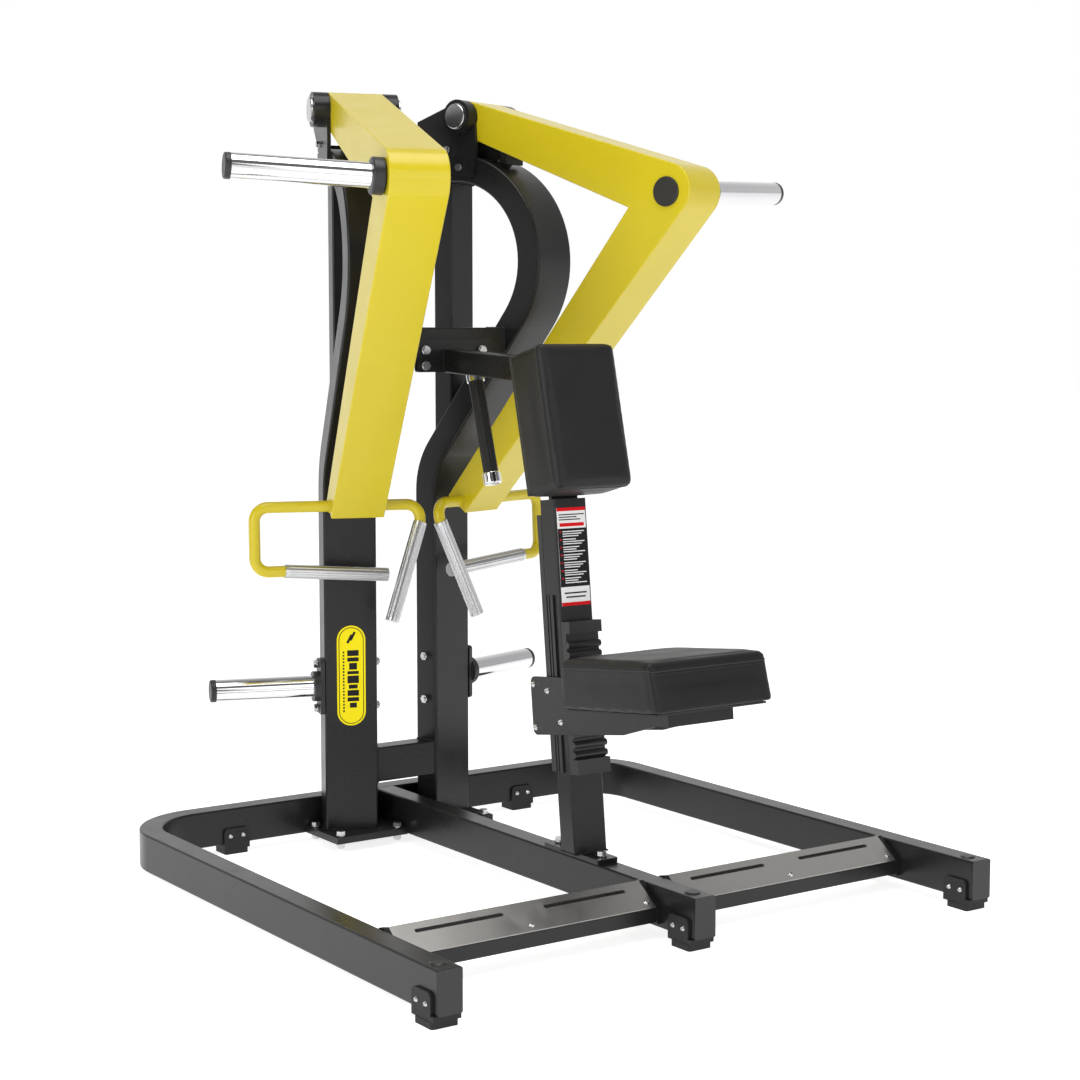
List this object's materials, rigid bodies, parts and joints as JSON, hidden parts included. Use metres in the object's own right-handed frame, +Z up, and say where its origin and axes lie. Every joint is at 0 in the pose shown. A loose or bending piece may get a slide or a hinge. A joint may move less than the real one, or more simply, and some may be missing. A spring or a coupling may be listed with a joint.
{
  "type": "plate-loaded row machine",
  "caption": "Plate-loaded lever row machine: twin swing arms with weight pegs and fluted handles, a chest pad on a post, a height-adjustable seat and slotted foot plates.",
  "frame": {"origin": "on the floor at the middle of the base", "axes": "+X across the machine, +Y from the user towards the uprights, +Z up"},
  "size_m": [1.3676, 1.3334, 1.666],
  "materials": {
    "black_frame": "satin powder coat",
    "yellow_paint": "gloss paint",
    "chrome": "polished",
    "turned_steel": "turned",
    "zinc_bolts": "zinc plated",
    "aluminium_grip": "fluted, satin",
    "stainless_tread": "brushed",
    "black_vinyl": "grained vinyl",
    "board": "black painted plywood",
    "black_rubber": "matt",
    "black_plastic": "moulded",
    "badge_face": "gloss",
    "placard_face": "printed film"
  },
  "bodies": {
    "frame": {"base_plates": "black_frame", "bracket_bolts": "zinc_bolts", "button_screws": "zinc_bolts", "centre_beam": "black_frame", "chest_pad": "black_vinyl", "chest_pad_board": "board", "column_badge": "badge_face", "column_crossbar": "black_frame", "foot_plates": "stainless_tread", "hub_bearings": "turned_steel", "hub_brackets": "black_frame", "left_rear_bend": "black_frame", "left_side_rail": "black_frame", "left_upright": "black_frame", "machine_bolts": "zinc_bolts", "pad_bar": "black_frame", "pad_bar_plate": "black_frame", "pad_crossmember": "black_frame", "pad_spine": "black_frame", "post_flange": "black_frame", "post_placard": "placard_face", "rail_end_plugs": "black_plastic", "rail_top_plugs": "black_plastic", "rear_pillars": "black_frame", "rear_rail": "black_frame", "right_rear_bend": "black_frame", "right_side_rail": "black_frame", "right_upright": "black_frame", "rubber_feet": "black_rubber", "seat_glide_strips": "black_plastic", "seat_post": "black_frame", "seat_rack": "black_plastic", "seat_rear_guide": "black_plastic", "steady_grip": "black_rubber", "steady_grip_trim": "chrome", "step_boxes": "black_frame", "stop_blocks": "black_frame", "stop_bumpers": "black_rubber", "storage_mounts": "black_plastic", "storage_pegs": "chrome", "upright_caps": "black_frame"},
    "left_arm": {"left_swing_arm": "yellow_paint", "left_pivot_axle": "turned_steel", "left_weight_peg": "chrome", "left_arm_trim": "black_plastic", "left_handle_bars": "yellow_paint", "left_hand_grips": "aluminium_grip"},
    "right_arm": {"right_swing_arm": "yellow_paint", "right_pivot_axle": "turned_steel", "right_weight_peg": "chrome", "right_arm_trim": "black_plastic", "right_handle_bars": "yellow_paint", "right_hand_grips": "aluminium_grip"},
    "seat": {"seat_carriage": "black_frame", "seat_pan": "black_frame", "carriage_rollers": "black_plastic", "carriage_screws": "zinc_bolts", "seat_board": "board", "seat_cushion": "black_vinyl"}
  },
  "joints": [
    {"name": "left_arm_swing", "type": "hinge", "parent": "frame", "child": "left_arm", "pos_m": [-0.16278, 0.44237, 1.629], "axis": [-0.9511, 0.309, 0], "range_deg": [0, 50]},
    {"name": "right_arm_swing", "type": "hinge", "parent": "frame", "child": "right_arm", "pos_m": [0.16278, 0.44237, 1.629], "axis": [-0.9511, -0.309, 0], "range_deg": [0, 50]},
    {"name": "seat_slide", "type": "slide", "parent": "frame", "child": "seat", "axis": [0, 0.1063, 0.9943], "range_m": [-0.08, 0.09]}
  ]
}
